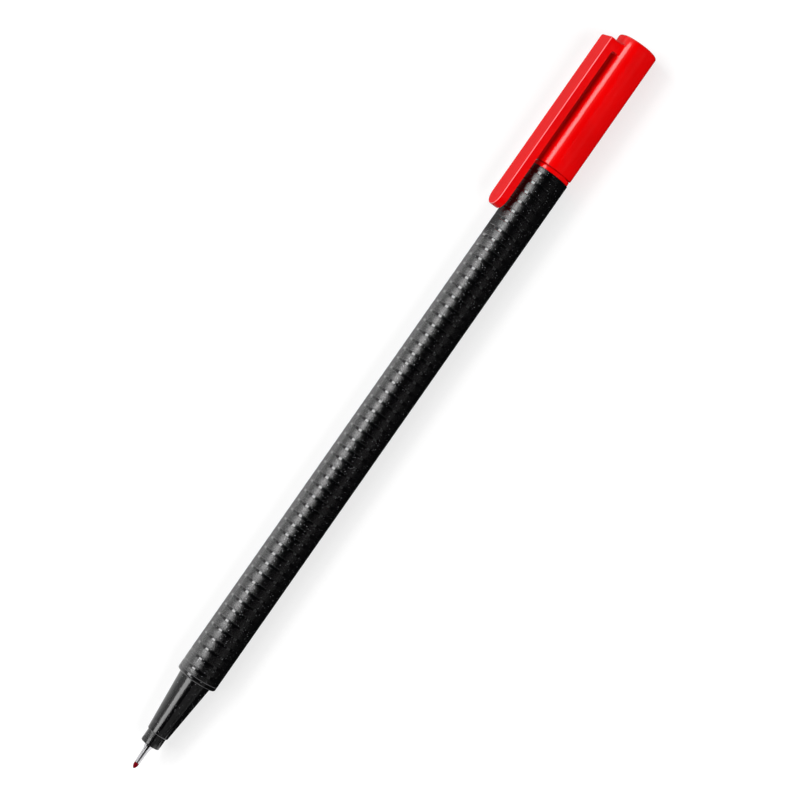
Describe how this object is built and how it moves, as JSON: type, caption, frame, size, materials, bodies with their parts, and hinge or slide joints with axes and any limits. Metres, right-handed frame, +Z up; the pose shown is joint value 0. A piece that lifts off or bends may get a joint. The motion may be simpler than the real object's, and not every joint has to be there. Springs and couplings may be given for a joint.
{
  "type": "fineliner pen",
  "caption": "Three-sided fineliner pen with a slim cone nose, a metal-clad fibre nib and a clip cap posted on a plug at the rear end.",
  "frame": {"origin": "on the flat of the face that the pen lies on, under the axis, at the middle of the barrel's length", "axes": "+X along the pen from the nib towards the cap, +Z up through the ridge opposite the resting face, +Y towards the side that carries the clip"},
  "size_m": [0.1736, 0.0115, 0.0096],
  "materials": {
    "barrel_black": "matte moulded plastic with pale specks and fine glossy rings",
    "nose_black": "smooth glossy moulded plastic with a few pale specks",
    "sleeve_metal": "polished drawn tube",
    "nib_fibre": "ground point soaked with ink",
    "reservoir_fibre": "bonded fibre soaked with ink",
    "wrap_film": "thin clear film",
    "cap_red": "glossy moulded plastic"
  },
  "bodies": {
    "pen": {"barrel": "barrel_black", "front_section": "nose_black", "nib_holder": "nose_black", "nib_sleeve": "sleeve_metal", "nib": "nib_fibre", "ink_reservoir": "reservoir_fibre", "reservoir_wrap": "wrap_film", "end_plug": "cap_red"},
    "cap": {"cap": "cap_red"}
  },
  "joints": [
    {"name": "cap_pull", "type": "slide", "parent": "pen", "child": "cap", "axis": [1, 0, 0], "range_m": [0, 0.022]}
  ]
}
